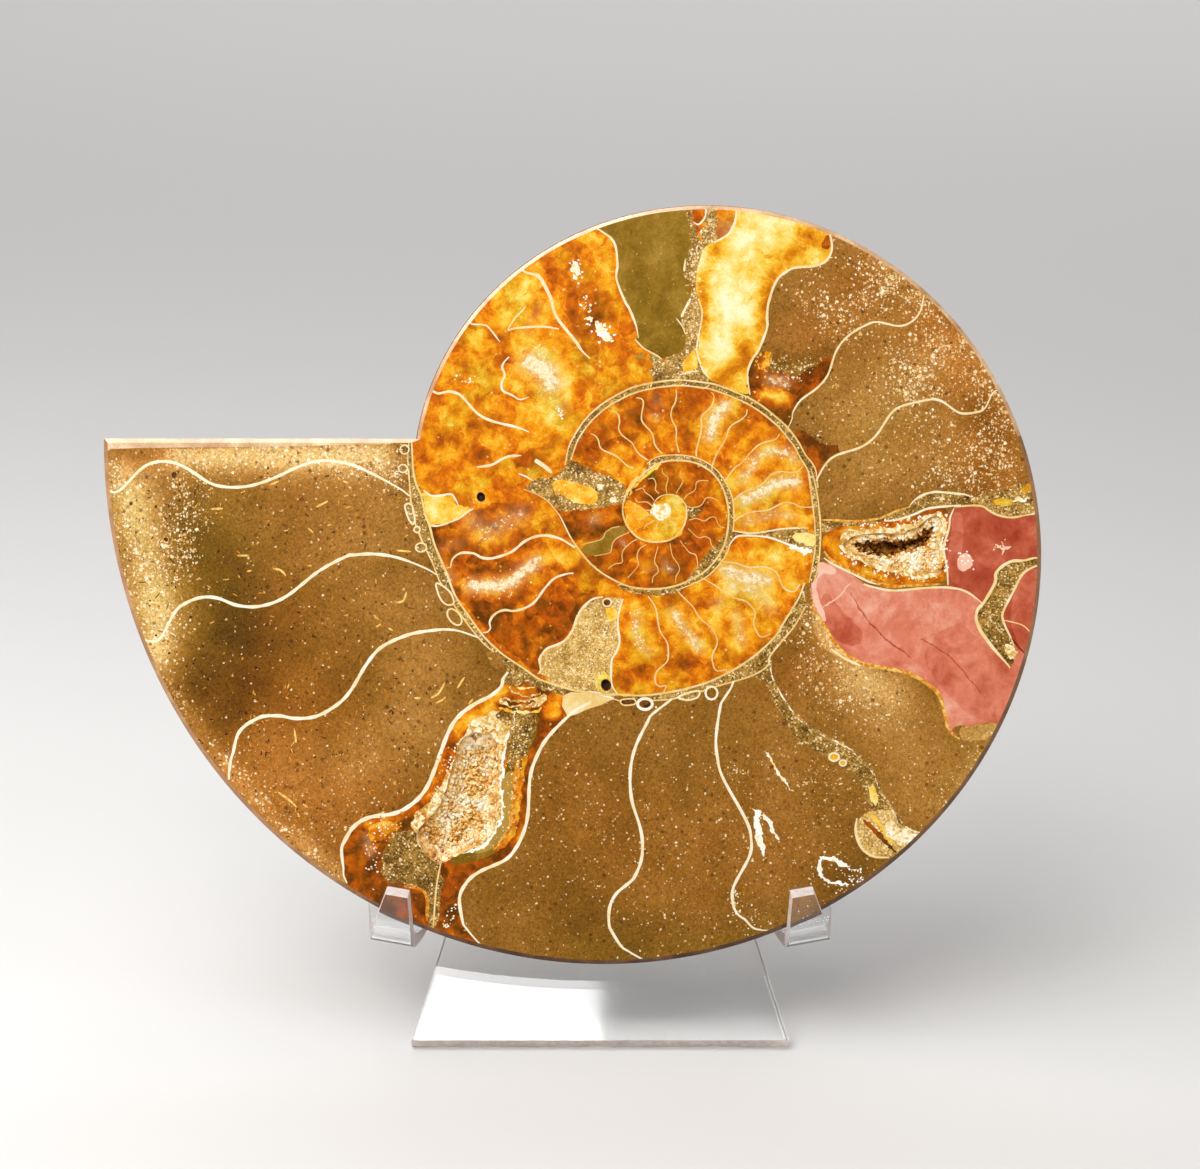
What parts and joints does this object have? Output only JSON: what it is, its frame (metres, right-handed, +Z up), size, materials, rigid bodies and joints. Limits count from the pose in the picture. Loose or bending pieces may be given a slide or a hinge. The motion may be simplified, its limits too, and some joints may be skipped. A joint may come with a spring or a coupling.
{
  "type": "ammonite fossil half on a clear easel",
  "caption": "Sawn and polished ammonite half with open crystal hollows, resting face forward in a clear easel bent from acrylic sheet.",
  "frame": {"origin": "middle of the underside of the whole, on the table", "axes": "+Z up, +X to the right of someone who looks at the polished face, +Y back, away from them"},
  "size_m": [0.1876, 0.106, 0.1612],
  "materials": {
    "polished_stone": "polished agate and calcite on the face, dull ribbed stone on the back",
    "calcite_crystals": "glossy small crystals, cream to golden",
    "clear_acrylic": "clear and polished, with frosted sawn edges"
  },
  "bodies": {
    "root": {"ammonite_half": "polished_stone", "upper_hollow_crystals": "calcite_crystals", "lower_hollow_crystals": "calcite_crystals", "acrylic_stand": "clear_acrylic"}
  },
  "joints": []
}
